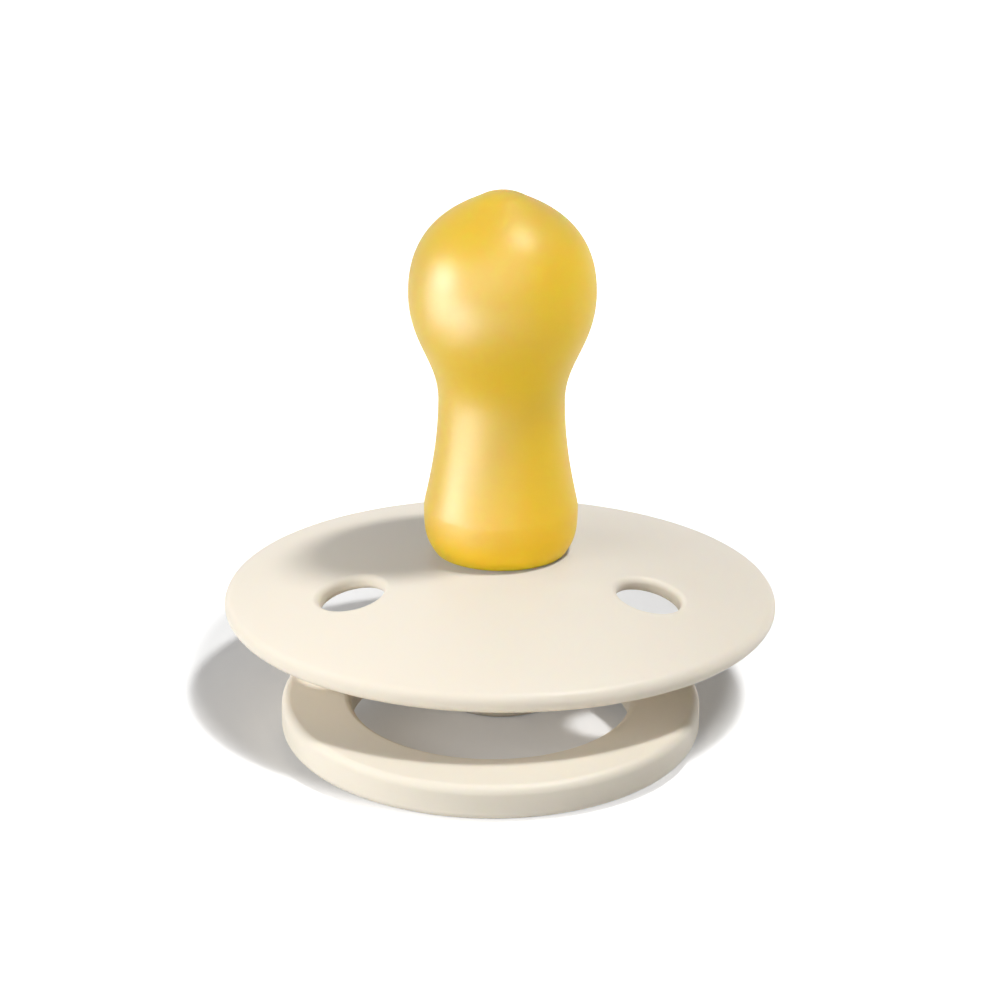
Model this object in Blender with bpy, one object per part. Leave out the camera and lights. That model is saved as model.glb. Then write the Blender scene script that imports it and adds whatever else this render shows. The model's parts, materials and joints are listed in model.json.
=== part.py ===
"""A round-shield soother: hollow latex nipple, vented shield, plug, rear knob and swinging ring.

Metres, +Z up along the nipple. The origin is the centre of the knob's flat end, and the ring lies towards -Y.
"""

import math

import bmesh
import bpy
from mathutils import Vector
from mathutils.geometry import interpolate_bezier

MM = 0.001

# Shield: a shallow dome, thicker towards its fully rounded rim. The crown stands above the knob's end.
SHIELD_RADIUS = 21.5 * MM
CROWN_THICKNESS = 1.0 * MM
RIM_THICKNESS = 1.7 * MM
DOME_RADIUS = 58.0 * MM
CROWN_HEIGHT = 12.75 * MM
VENT_RADIUS = 2.53 * MM
VENT_REACH = 13.17 * MM
VENT_TURN = math.radians(29)
VENT_ROUNDING = 0.5 * MM

# Socket behind the shield, which houses the nipple's flange, the plug's disc and the knob's spigot.
SOCKET_RADIUS = 6.5 * MM
SOCKET_WALL = 1.2 * MM
SOCKET_DEPTH = 3.85 * MM

# Nipple. Heights start at the shield's crown, and the cap reaches from the bulb's widest ring to the tip.
NIPPLE_LENGTH = 28.85 * MM
CAP_HEIGHT = 8.0 * MM
BULB_RADIUS = 7.26 * MM
NECK_HEIGHT = 12.05 * MM
NECK_RADIUS = 4.9 * MM
FOOT_HEIGHT = 3.35 * MM
FOOT_RADIUS = 5.98 * MM
HEEL_RADIUS = 5.12 * MM
HEEL_LEAN = math.radians(34)
NUB_RADIUS = 1.74 * MM
NUB_HEIGHT = 0.42 * MM
NUB_SLOPE = math.radians(30)
GROOVE_RADIUS = 4.5 * MM
RUBBER_WALL = 1.3 * MM
FLANGE_THICKNESS = 1.3 * MM

# How far each stretch of the nipple's outline keeps the direction of its lower and of its upper end.
HEEL_EASE = (0.35, 0.57)
WAIST_EASE = (0.07, 0.535)
SWELL_EASE = (0.385, 0.455)
CAP_EASE = (0.665, 0.26)
NUB_EASE = (0.33, 0.23)

# Plug. Its head stands above the shield's crown.
PLUG_DISC_THICKNESS = 1.0 * MM
PLUG_HEAD_HEIGHT = 5.35 * MM
PLUG_HEAD_EDGE = 0.8 * MM

# Knob: a round neck with a flat end, a lip under the socket and a spigot inside it.
KNOB_RADIUS = 4.5 * MM
KNOB_EDGE = 0.5 * MM
LIP_THICKNESS = 0.9 * MM
LIP_EDGE = 0.3 * MM

# Ring: a round band closed by a straight bar that turns in the knob's slot.
PIVOT_HEIGHT = 3.15 * MM
RING_RADIUS = 13.36 * MM
RING_REACH = 8.97 * MM
BAND_HALF_WIDTH = 2.72 * MM
BAND_HALF_HEIGHT = 1.42 * MM
BAND_ROUNDING = 0.75 * MM
RING_CORNER = 5.0 * MM
BAR_RADIUS = 1.35 * MM
BAR_PLAY = 0.9 * MM
RING_SHIFT = -0.68 * MM

# Clearances.
FIT_GAP = 0.12 * MM
SLIDE_GAP = 0.15 * MM
FLOOR_GAP = 0.05 * MM

# Mesh fineness.
SHIELD_STEPS = 64
NIPPLE_STEPS = 40
SMALL_STEPS = 36
VENT_STEPS = 28
BAR_STEPS = 7
CORNER_STEPS = 8
BAND_STEPS = 24
ROUNDING_STEPS = 5
SHARP_ANGLE = math.radians(35)
MERGE_DISTANCE = 0.001 * MM

# The dome's inside is a sphere through the crown's underside and the rim's inner end.
DOME_CENTRE = CROWN_HEIGHT - DOME_RADIUS
RIM_HALF = RIM_THICKNESS / 2
RIM_TURN = math.asin((SHIELD_RADIUS - RIM_HALF) / (DOME_RADIUS - RIM_HALF))
RIM_INNER_RADIUS = (DOME_RADIUS - RIM_THICKNESS) * math.sin(RIM_TURN)
RIM_INNER_HEIGHT = DOME_CENTRE + (DOME_RADIUS - RIM_THICKNESS) * math.cos(RIM_TURN)
INNER_CROWN = CROWN_HEIGHT - CROWN_THICKNESS
INNER_RISE = INNER_CROWN - RIM_INNER_HEIGHT
INNER_DOME_RADIUS = (RIM_INNER_RADIUS**2 + INNER_RISE**2) / (2 * INNER_RISE)
INNER_DOME_CENTRE = INNER_CROWN - INNER_DOME_RADIUS

# The stack behind the shield, from the seat of the nipple's flange down to the knob's spigot.
SEAT_HEIGHT = INNER_DOME_CENTRE + math.sqrt(INNER_DOME_RADIUS**2 - SOCKET_RADIUS**2)
SOCKET_OUTER = SOCKET_RADIUS + SOCKET_WALL
SOCKET_END = SEAT_HEIGHT - SOCKET_DEPTH
FLANGE_RADIUS = SOCKET_RADIUS - FIT_GAP
FLANGE_TOP = SEAT_HEIGHT - FIT_GAP
FLANGE_BOTTOM = FLANGE_TOP - FLANGE_THICKNESS
DISC_TOP = FLANGE_BOTTOM - FIT_GAP
DISC_BOTTOM = DISC_TOP - PLUG_DISC_THICKNESS
SPIGOT_TOP = DISC_BOTTOM - FIT_GAP
BORE_RADIUS = GROOVE_RADIUS - RUBBER_WALL
SLOT_HALF_WIDTH = BAR_RADIUS + SLIDE_GAP


def arc(centre, radius, start, end, count):
    """Points (radius, height) along an arc, with angles in degrees from the +radius direction."""
    points = []
    for i in range(count):
        turn = math.radians(start + (end - start) * i / (count - 1))
        points.append((centre[0] + radius * math.cos(turn), centre[1] + radius * math.sin(turn)))
    return points


def bezier(start, start_handle, end_handle, end, count):
    """Points (radius, height) along one Bezier stretch, without its end."""
    knots = [Vector((*point, 0)) for point in (start, start_handle, end_handle, end)]
    return [(point.x, point.y) for point in interpolate_bezier(*knots, count + 1)[:-1]]


def upright_bezier(start, end, ease, count):
    """A Bezier stretch that leaves its start and reaches its end straight up."""
    rise = end[1] - start[1]
    start_handle = (start[0], start[1] + ease[0] * rise)
    end_handle = (end[0], end[1] - ease[1] * rise)
    return bezier(start, start_handle, end_handle, end, count)


def inset(curve, distance):
    """The curve moved this far to the left of its direction of travel."""
    moved = []
    for i, (radius, height) in enumerate(curve):
        before = Vector(curve[max(i - 1, 0)])
        after = Vector(curve[min(i + 1, len(curve) - 1)])
        along = (after - before).normalized()
        moved.append((radius - along.y * distance, height + along.x * distance))
    return moved


def add_object(name, mesh):
    """Makes an object of a bmesh, shaded smooth up to its sharp edges."""
    data = bpy.data.meshes.new(name)
    bmesh.ops.recalc_face_normals(mesh, faces=mesh.faces)
    mesh.to_mesh(data)
    mesh.free()
    data.shade_smooth()
    data.set_sharp_from_angle(angle=SHARP_ANGLE)
    piece = bpy.data.objects.new(name, data)
    bpy.context.scene.collection.objects.link(piece)
    return piece


def add_material(piece, colour, roughness, subsurface=0.0):
    """Gives the piece its own Principled material."""
    material = bpy.data.materials.new(piece.name)
    material.use_nodes = True
    shader = material.node_tree.nodes["Principled BSDF"]
    shader.inputs["Base Color"].default_value = (*colour, 1.0)
    shader.inputs["Roughness"].default_value = roughness
    shader.inputs["Subsurface Weight"].default_value = subsurface
    shader.inputs["Subsurface Scale"].default_value = RUBBER_WALL
    material.diffuse_color = (*colour, 1.0)
    piece.data.materials.append(material)


def turned(name, outline, steps):
    """A solid spun about Z from an outline of (radius, height) that is closed or ends on the axis."""
    mesh = bmesh.new()
    points = [mesh.verts.new((radius, 0, height)) for radius, height in outline]
    edges = [mesh.edges.new(pair) for pair in zip(points, points[1:])]
    if outline[0][0] > 0:
        edges.append(mesh.edges.new((points[-1], points[0])))
    bmesh.ops.spin(
        mesh,
        geom=points + edges,
        cent=(0, 0, 0),
        axis=(0, 0, 1),
        angle=2 * math.pi,
        steps=steps,
        use_merge=True,
    )
    bmesh.ops.remove_doubles(mesh, verts=mesh.verts, dist=MERGE_DISTANCE)
    return add_object(name, mesh)


def prism(name, outline, half_length):
    """A solid with an outline of (y, z) points, drawn out along X to both sides."""
    mesh = bmesh.new()
    face = mesh.faces.new([mesh.verts.new((-half_length, y, z)) for y, z in outline])
    grown = bmesh.ops.extrude_face_region(mesh, geom=[face], use_keep_orig=True)["geom"]
    far_points = [item for item in grown if isinstance(item, bmesh.types.BMVert)]
    bmesh.ops.translate(mesh, verts=far_points, vec=(2 * half_length, 0, 0))
    return add_object(name, mesh)


def combine(piece, operation, other):
    """Adds an exact Boolean and hides its second object."""
    boolean = piece.modifiers.new(other.name, "BOOLEAN")
    boolean.operation = operation
    boolean.solver = "EXACT"
    boolean.object = other
    other.hide_render = True
    other.display_type = "WIRE"


def dome_height(radius):
    """Height of the dome's outside at this distance from the axis."""
    return DOME_CENTRE + math.sqrt(DOME_RADIUS**2 - radius**2)


def vent_cutter(name, side):
    """A spool, square to the dome, that cuts one vent and rounds both of its edges."""
    lean = math.asin(VENT_REACH / DOME_RADIUS)
    offset = INNER_DOME_CENTRE - DOME_CENTRE
    inner_reach = math.sqrt(INNER_DOME_RADIUS**2 - (offset * math.sin(lean)) ** 2)
    wall = DOME_RADIUS - offset * math.cos(lean) - inner_reach
    flare_end = math.radians(65)
    rise = 1.5 * VENT_ROUNDING
    edge_centre = (VENT_RADIUS + VENT_ROUNDING, -VENT_ROUNDING)
    flare = arc(edge_centre, VENT_ROUNDING, 180 - math.degrees(flare_end), 180, 5)
    mouth = (flare[0][0] + rise * math.tan(flare_end), flare[0][1] + rise)
    upper = [mouth, *flare]
    lower = [(radius, -wall - height) for radius, height in upper[::-1]]
    cutter = turned(name, [(0, mouth[1]), *upper, *lower, (0, lower[-1][1])], VENT_STEPS)
    across = side * math.sin(lean) * math.cos(VENT_TURN)
    forward = -math.sin(lean) * math.sin(VENT_TURN)
    normal = Vector((across, forward, math.cos(lean)))
    cutter.location = Vector((0, 0, DOME_CENTRE)) + normal * DOME_RADIUS
    cutter.rotation_euler = normal.to_track_quat("Z", "Y").to_euler()
    return cutter


def build_shield():
    edge = math.degrees(RIM_TURN)
    rim_height = DOME_CENTRE + (DOME_RADIUS - RIM_HALF) * math.cos(RIM_TURN)
    hole = GROOVE_RADIUS + FIT_GAP
    first = math.degrees(math.asin(hole / DOME_RADIUS))
    inner_edge = math.degrees(math.asin(RIM_INNER_RADIUS / INNER_DOME_RADIUS))
    last = math.degrees(math.asin(SOCKET_OUTER / INNER_DOME_RADIUS))
    outline = arc((0, DOME_CENTRE), DOME_RADIUS, 90 - first, 90 - edge, 10)
    outline += arc((SHIELD_RADIUS - RIM_HALF, rim_height), RIM_HALF, 90 - edge, -90 - edge, 9)[1:]
    outline += arc((0, INNER_DOME_CENTRE), INNER_DOME_RADIUS, 90 - inner_edge, 90 - last, 8)[1:]
    outline += [
        (SOCKET_OUTER, SOCKET_END),
        (SOCKET_RADIUS, SOCKET_END),
        (SOCKET_RADIUS, SEAT_HEIGHT),
        (hole, SEAT_HEIGHT),
    ]
    shield = turned("shield", outline, SHIELD_STEPS)
    combine(shield, "DIFFERENCE", vent_cutter("vent_cutter_right", 1))
    combine(shield, "DIFFERENCE", vent_cutter("vent_cutter_left", -1))
    add_material(shield, (0.87, 0.80, 0.68), 0.45)


def nipple_skin():
    """The nipple's outside from its heel on the shield up: foot, neck, bulb, cap and the nub at its tip."""
    bulb_height = NIPPLE_LENGTH - CAP_HEIGHT
    slope = Vector((math.cos(NUB_SLOPE), -math.sin(NUB_SLOPE)))
    heel = Vector((HEEL_RADIUS, dome_height(HEEL_RADIUS) + FIT_GAP - CROWN_HEIGHT))
    foot_rise = FOOT_HEIGHT - heel.y
    heel_handle = heel + Vector((math.sin(HEEL_LEAN), math.cos(HEEL_LEAN))) * HEEL_EASE[0] * foot_rise
    foot_handle = (FOOT_RADIUS, FOOT_HEIGHT - HEEL_EASE[1] * foot_rise)
    foot = (FOOT_RADIUS, FOOT_HEIGHT)
    neck = (NECK_RADIUS, NECK_HEIGHT)
    bulb = (BULB_RADIUS, bulb_height)
    bulb_handle = (BULB_RADIUS, bulb_height + CAP_EASE[0] * CAP_HEIGHT)
    nub = Vector((NUB_RADIUS, NIPPLE_LENGTH - NUB_HEIGHT))
    cap_handle = nub + slope * CAP_EASE[1] * BULB_RADIUS
    nub_handle = nub - slope * NUB_EASE[0] * NUB_RADIUS
    tip_handle = (NUB_EASE[1] * NUB_RADIUS, NIPPLE_LENGTH)
    tip = (0, NIPPLE_LENGTH)
    skin = bezier(heel, heel_handle, foot_handle, foot, 5)
    skin += upright_bezier(foot, neck, WAIST_EASE, 7)
    skin += upright_bezier(neck, bulb, SWELL_EASE, 9)
    skin += bezier(bulb, bulb_handle, cap_handle, nub, 10)
    skin += bezier(nub, nub_handle, tip_handle, tip, 4)
    skin.append(tip)
    return [(radius, CROWN_HEIGHT + height) for radius, height in skin]


def nipple_hollow(skin):
    """The hollow from the flange's mouth up to its top on the axis, one wall inside the skin."""
    mouth = (BORE_RADIUS, FLANGE_BOTTOM)
    throat = (BORE_RADIUS, CROWN_HEIGHT)
    top = (0, skin[-1][1] - RUBBER_WALL)
    inside = inset(skin, RUBBER_WALL)[:-1:2]
    room = [(r, z) for r, z in inside if z > throat[1] + RUBBER_WALL and r > RUBBER_WALL]
    return [mouth, throat, *room, top]


def build_nipple(skin, hollow):
    groove_top = dome_height(GROOVE_RADIUS) + FIT_GAP
    outline = skin[::-1]
    outline += [(GROOVE_RADIUS, groove_top), (GROOVE_RADIUS, FLANGE_TOP)]
    outline += [(FLANGE_RADIUS, FLANGE_TOP), (FLANGE_RADIUS, FLANGE_BOTTOM)]
    nipple = turned("nipple", outline + hollow, NIPPLE_STEPS)
    add_material(nipple, (0.78, 0.50, 0.07), 0.35, subsurface=1.0)


def build_plug(hollow):
    """The stem and head follow the nipple's hollow, and a key under the disc closes the knob's slot."""
    head_top = CROWN_HEIGHT + PLUG_HEAD_HEIGHT
    side = [(r - SLIDE_GAP, z) for r, z in hollow[1:] if z < head_top - PLUG_HEAD_EDGE]
    widest = side[-1][0]
    outline = [(0, head_top), (widest - 2 * PLUG_HEAD_EDGE, head_top)]
    outline += [(widest - PLUG_HEAD_EDGE / 2, head_top - PLUG_HEAD_EDGE / 2), *side[::-1]]
    outline += [(BORE_RADIUS - SLIDE_GAP, DISC_TOP), (FLANGE_RADIUS, DISC_TOP)]
    outline += [(FLANGE_RADIUS, DISC_BOTTOM), (0, DISC_BOTTOM)]
    plug = turned("plug", outline, SMALL_STEPS)
    half = BAR_RADIUS
    low = PIVOT_HEIGHT + SLOT_HALF_WIDTH
    high = DISC_BOTTOM + PLUG_DISC_THICKNESS / 2
    key_half_length = math.sqrt(KNOB_RADIUS**2 - SLOT_HALF_WIDTH**2)
    key = prism("plug_key", [(-half, low), (half, low), (half, high), (-half, high)], key_half_length)
    combine(plug, "UNION", key)
    add_material(plug, (0.85, 0.78, 0.66), 0.45)


def build_knob():
    lip_top = SOCKET_END - FIT_GAP
    lip_bottom = lip_top - LIP_THICKNESS
    outline = [(0, SPIGOT_TOP), (FLANGE_RADIUS, SPIGOT_TOP), (FLANGE_RADIUS, lip_top)]
    outline += arc((SOCKET_OUTER - LIP_EDGE, lip_top - LIP_EDGE), LIP_EDGE, 90, 0, 4)
    outline += arc((SOCKET_OUTER - LIP_EDGE, lip_bottom + LIP_EDGE), LIP_EDGE, 0, -90, 4)
    outline += [(KNOB_RADIUS, lip_bottom)]
    outline += arc((KNOB_RADIUS - KNOB_EDGE, KNOB_EDGE), KNOB_EDGE, 0, -90, 5)
    outline += [(0, 0)]
    knob = turned("knob", outline, SMALL_STEPS)
    half = SLOT_HALF_WIDTH
    above = SPIGOT_TOP + SLOT_HALF_WIDTH
    slot = arc((0, PIVOT_HEIGHT), half, -180, 0, 13) + [(half, above), (-half, above)]
    combine(knob, "DIFFERENCE", prism("slot_cutter", slot, 2 * SOCKET_OUTER))
    add_material(knob, (0.86, 0.79, 0.67), 0.45)


def ring_path():
    """Stations (x, y, outward turn, band share) once round the ring, with the bar along y = 0."""
    spread = math.sqrt((RING_RADIUS - RING_CORNER) ** 2 - (RING_REACH - RING_CORNER) ** 2)
    meet = math.atan2(RING_REACH - RING_CORNER, spread)
    bar_end = KNOB_RADIUS + BAR_PLAY
    band_start = spread + RING_CORNER * (math.pi / 2 - meet)
    half = []
    for i in range(BAR_STEPS):
        run = spread * i / BAR_STEPS
        half.append((run, 0, math.pi / 2, run))
    for i in range(CORNER_STEPS):
        turn = math.pi / 2 + (meet - math.pi / 2) * i / CORNER_STEPS
        run = spread + RING_CORNER * (math.pi / 2 - turn)
        x = spread + RING_CORNER * math.cos(turn)
        y = RING_CORNER * (math.sin(turn) - 1)
        half.append((x, y, turn, run))
    for i in range(BAND_STEPS + 1):
        turn = meet - (math.pi / 2 + meet) * i / BAND_STEPS
        x = RING_RADIUS * math.cos(turn)
        y = RING_RADIUS * math.sin(turn) - RING_REACH
        half.append((x, y, turn, band_start))
    half = [(x, y, turn, max(run - bar_end, 0) / (band_start - bar_end)) for x, y, turn, run in half]
    other_half = [(-x, y, math.pi - turn, share) for x, y, turn, share in half[-2:0:-1]]
    return half + other_half


def ring_section(share):
    """Points (across, up) round the ring: a circle at the bar, an oblong with rounded edges at the band."""
    ease = share * share * (3 - 2 * share)
    half_width = BAR_RADIUS + (BAND_HALF_WIDTH - BAR_RADIUS) * ease
    half_height = BAR_RADIUS + (BAND_HALF_HEIGHT - BAR_RADIUS) * ease
    rounding = BAR_RADIUS + (BAND_ROUNDING - BAR_RADIUS) * ease
    points = []
    for i in range(4 * ROUNDING_STEPS):
        angle = math.pi / 2 * (i + 0.5) / ROUNDING_STEPS
        flat_across = math.copysign(half_width - rounding, math.cos(angle))
        flat_up = math.copysign(half_height - rounding, math.sin(angle))
        points.append((flat_across + rounding * math.cos(angle), flat_up + rounding * math.sin(angle)))
    return points


def build_ring():
    mesh = bmesh.new()
    loops = []
    for x, y, turn, share in ring_path():
        loop = []
        for across, up in ring_section(share):
            loop.append(mesh.verts.new((x + across * math.cos(turn), y + across * math.sin(turn), up)))
        loops.append(loop)
    for first, second in zip(loops, loops[1:] + loops[:1]):
        for i in range(len(first)):
            mesh.faces.new((first[i - 1], second[i - 1], second[i], first[i]))
    ring = add_object("ring", mesh)
    reach = RING_REACH + RING_RADIUS + BAND_HALF_WIDTH - BAND_ROUNDING
    depth = BAND_HALF_HEIGHT - BAND_ROUNDING
    droop = math.asin((PIVOT_HEIGHT - FLOOR_GAP - BAND_ROUNDING) / math.hypot(reach, depth))
    ring.location = (RING_SHIFT, 0, PIVOT_HEIGHT)
    ring.rotation_euler = (droop - math.atan2(depth, reach), 0, 0)
    add_material(ring, (0.88, 0.81, 0.69), 0.45)


def main():
    for piece in list(bpy.data.objects):
        bpy.data.objects.remove(piece)
    skin = nipple_skin()
    hollow = nipple_hollow(skin)
    build_shield()
    build_nipple(skin, hollow)
    build_plug(hollow)
    build_knob()
    build_ring()


main()
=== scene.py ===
"""Finished looks of a round-shield soother: latex nipple, satin shield, knob and ring, and a bright studio."""

import json
import math

import bmesh
import bpy
from mathutils import Matrix, Vector
from mathutils.geometry import delaunay_2d_cdt, interpolate_bezier


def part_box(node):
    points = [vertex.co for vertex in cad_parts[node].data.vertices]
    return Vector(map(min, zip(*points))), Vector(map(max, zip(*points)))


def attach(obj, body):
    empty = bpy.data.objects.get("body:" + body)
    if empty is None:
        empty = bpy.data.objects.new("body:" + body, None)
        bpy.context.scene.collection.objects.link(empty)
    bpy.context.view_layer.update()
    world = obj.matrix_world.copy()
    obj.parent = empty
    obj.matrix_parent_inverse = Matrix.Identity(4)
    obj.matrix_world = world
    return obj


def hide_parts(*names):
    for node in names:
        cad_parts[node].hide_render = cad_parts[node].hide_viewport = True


bl_info = {
    "name": "Soother",
    "version": (1, 0, 0),
    "blender": (4, 5, 0),
    "location": "View3D > Sidebar > Soother",
    "description": "Builds a round-shield soother with a latex nipple and a swinging ring",
    "category": "Add Mesh",
}

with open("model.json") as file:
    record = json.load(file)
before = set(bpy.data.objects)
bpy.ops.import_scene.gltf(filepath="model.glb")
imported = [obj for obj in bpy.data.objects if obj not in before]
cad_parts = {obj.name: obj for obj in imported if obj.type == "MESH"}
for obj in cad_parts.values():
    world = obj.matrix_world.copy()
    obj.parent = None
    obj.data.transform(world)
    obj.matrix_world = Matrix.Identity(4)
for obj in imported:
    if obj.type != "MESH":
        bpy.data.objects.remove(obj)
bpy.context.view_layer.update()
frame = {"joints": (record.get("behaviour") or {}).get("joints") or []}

MM = 0.001
FULL_TURN = 2 * math.pi
QUARTER_TURN = math.pi / 2
VENT_EDGE_STEPS = 10
MERGE_DISTANCE = 0.001 * MM
SHARP_ANGLE = math.radians(40)
SHIELD_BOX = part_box("shield")
NIPPLE_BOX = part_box("nipple")
RING_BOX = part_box("ring")
PIVOT = Vector(frame["joints"][0]["pos_m"])


def length(name, description, default):
    """A size in metres."""
    return bpy.props.FloatProperty(
        name=name, description=description, default=default, min=0, precision=5, unit="LENGTH"
    )


def offset(name, description, default):
    """A distance in metres that may be negative."""
    return bpy.props.FloatProperty(
        name=name, description=description, default=default, precision=5, unit="LENGTH"
    )


def angle(name, description, degrees):
    """An angle, given in degrees and kept in radians."""
    return bpy.props.FloatProperty(
        name=name, description=description, default=math.radians(degrees), subtype="ANGLE"
    )


def factor(name, description, default):
    """A share from 0 to 1."""
    return bpy.props.FloatProperty(
        name=name, description=description, default=default, min=0, max=1, subtype="FACTOR"
    )


def number(name, description, default):
    """A plain number that isn't negative."""
    return bpy.props.FloatProperty(name=name, description=description, default=default, min=0)


def power(name, description, default):
    """A lamp's power in watts."""
    return bpy.props.FloatProperty(
        name=name, description=description, default=default, min=0, precision=3, unit="POWER"
    )


def count(name, description, default):
    """A whole number of steps."""
    return bpy.props.IntProperty(name=name, description=description, default=default, min=3)


def colour(name, description, default):
    """A linear colour."""
    return bpy.props.FloatVectorProperty(
        name=name, description=description, default=default, min=0, max=1, size=3, subtype="COLOR"
    )


class ShieldSettings(bpy.types.PropertyGroup):
    """Sizes and finish of the domed shield and of the socket behind it."""

    radius: length("Radius", "Outer radius of the shield", (SHIELD_BOX[1].x - SHIELD_BOX[0].x) / 2)
    crown_thickness: length("Crown thickness", "Thickness of the dome at its crown", 1.0 * MM)
    rim_thickness: length("Rim thickness", "Thickness of the dome at its fully rounded rim", 1.7 * MM)
    dome_radius: length("Dome radius", "Radius of the dome's outer surface", 58.0 * MM)
    crown_height: length("Crown height", "Height of the dome's crown above the knob's end", 12.75 * MM)
    vent_radius: length("Vent radius", "Radius of the two vents", 2.53 * MM)
    vent_reach: length("Vent reach", "Distance of the vents from the axis", 13.17 * MM)
    vent_turn: angle("Vent turn", "How far the vents lie forward of the sides", 29)
    vent_rounding: length("Vent rounding", "Radius of the vents' rounded edges", 0.5 * MM)
    hole_radius: length("Hole radius", "Radius of the centre hole round the nipple", 4.62 * MM)
    socket_radius: length("Socket radius", "Inner radius of the socket", 6.5 * MM)
    socket_wall: length("Socket wall", "Thickness of the socket's wall", 1.2 * MM)
    socket_depth: length("Socket depth", "Depth of the socket below its seat", 3.85 * MM)
    edge_rounding: length("Edge rounding", "Rounding of the socket's edges", 0.3 * MM)
    steps: count("Steps", "Steps round the shield", 288)
    vent_steps: count("Vent steps", "Steps round each vent", 96)
    spacing: length("Spacing", "Distance between the points of the dome's skin", 0.8 * MM)
    tint: colour("Colour", "Cream of the moulded plastic", (0.97, 0.88, 0.745))


class NippleSettings(bpy.types.PropertyGroup):
    """Sizes and finish of the hollow latex nipple. Heights start at the shield's crown."""

    tip_height: length("Tip height", "Height of the tip above the knob's end", NIPPLE_BOX[1].z)
    cap_height: length("Cap height", "Height from the bulb's widest ring to the tip", 8.0 * MM)
    bulb_radius: length("Bulb radius", "Widest radius of the bulb", 7.26 * MM)
    neck_height: length("Neck height", "Height of the narrowest ring", 12.05 * MM)
    neck_radius: length("Neck radius", "Narrowest radius", 4.9 * MM)
    foot_height: length("Foot height", "Height of the foot's widest ring", 3.35 * MM)
    foot_radius: length("Foot radius", "Widest radius of the foot", 5.98 * MM)
    heel_radius: length("Heel radius", "Radius at which the foot meets the shield", 5.12 * MM)
    heel_lean: angle("Heel lean", "How far the heel leans outwards", 34)
    nub_radius: length("Nub radius", "Radius of the soft point", 1.74 * MM)
    nub_height: length("Nub height", "Height of the soft point", 0.42 * MM)
    nub_slope: angle("Nub slope", "Slope of the cap where it meets the soft point", 30)
    heel_gap: length("Heel gap", "Gap between the heel and the shield", 0.03 * MM)
    groove_radius: length("Groove radius", "Radius of the groove in the shield's hole", 4.5 * MM)
    flange_radius: length("Flange radius", "Radius of the flange behind the shield", 6.38 * MM)
    flange_thickness: length("Flange thickness", "Thickness of the flange", 1.3 * MM)
    wall: length("Wall", "Thickness of the rubber", 1.3 * MM)
    steps: count("Steps", "Steps round the nipple", 192)
    tint: colour("Colour", "Amber of the latex", (0.755, 0.51, 0.008))
    # The foot's amber is brighter and more saturated than the rest: partly the latex's colour, partly painted glow
    # of light passing through it.
    foot_tint_and_glow: colour("Foot colour and glow", "Amber at the foot, brighter with painted glow of light through the latex", (0.81, 0.525, 0.005))
    depth: length("Depth", "How far light travels inside the latex", 1.2 * MM)


class KnobSettings(bpy.types.PropertyGroup):
    """Sizes and finish of the rear knob and of the plug that it holds."""

    radius: length("Radius", "Radius of the knob's neck", 4.5 * MM)
    edge: length("Edge", "Rounding of the knob's end", 0.5 * MM)
    lip_radius: length("Lip radius", "Radius of the lip under the socket", 7.7 * MM)
    lip_thickness: length("Lip thickness", "Thickness of the lip", 0.9 * MM)
    lip_edge: length("Lip edge", "Rounding of the lip", 0.3 * MM)
    spigot_radius: length("Spigot radius", "Radius of the spigot in the socket", 6.38 * MM)
    slot_half_width: length("Slot half width", "Half the width of the slot for the ring's bar", 1.5 * MM)
    disc_thickness: length("Disc thickness", "Thickness of the plug's disc", 1.0 * MM)
    head_height: length("Head height", "Height of the plug's head above the crown", 5.35 * MM)
    head_edge: length("Head edge", "Rounding of the plug's head", 0.8 * MM)
    fit_gap: length("Fit gap", "Gap between pressed pieces", 0.12 * MM)
    slide_gap: length("Slide gap", "Gap round the plug's stem", 0.15 * MM)
    steps: count("Steps", "Steps round the knob and the plug", 128)
    tint: colour("Colour", "Cream of the moulded plastic", (0.97, 0.88, 0.745))


class RingSettings(bpy.types.PropertyGroup):
    """Sizes and finish of the ring and of the bar that closes it."""

    radius: length("Radius", "Radius of the band's middle line", 13.36 * MM)
    reach: length("Reach", "Distance of the band's centre from the bar", 8.97 * MM)
    corner: length("Corner", "Radius of the corners between bar and band", 5.0 * MM)
    half_width: length("Half width", "Half the width of the band", 2.72 * MM)
    half_height: length("Half height", "Half the height of the band", 1.42 * MM)
    rounding: length("Rounding", "Radius of the band's rounded edges", 0.75 * MM)
    bar_radius: length("Bar radius", "Radius of the bar", 1.35 * MM)
    bar_half_length: length("Bar half length", "Half the length of the bar's even stretch", 5.4 * MM)
    shift: offset("Shift", "Place of the ring along its bar", (RING_BOX[0].x + RING_BOX[1].x) / 2)
    floor_gap: length("Floor gap", "Gap between the band's free side and the floor", 0.05 * MM)
    sides: count("Sides", "Steps round the section, a multiple of four", 64)
    tint: colour("Colour", "Cream of the moulded plastic", (0.985, 0.90, 0.76))


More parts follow.
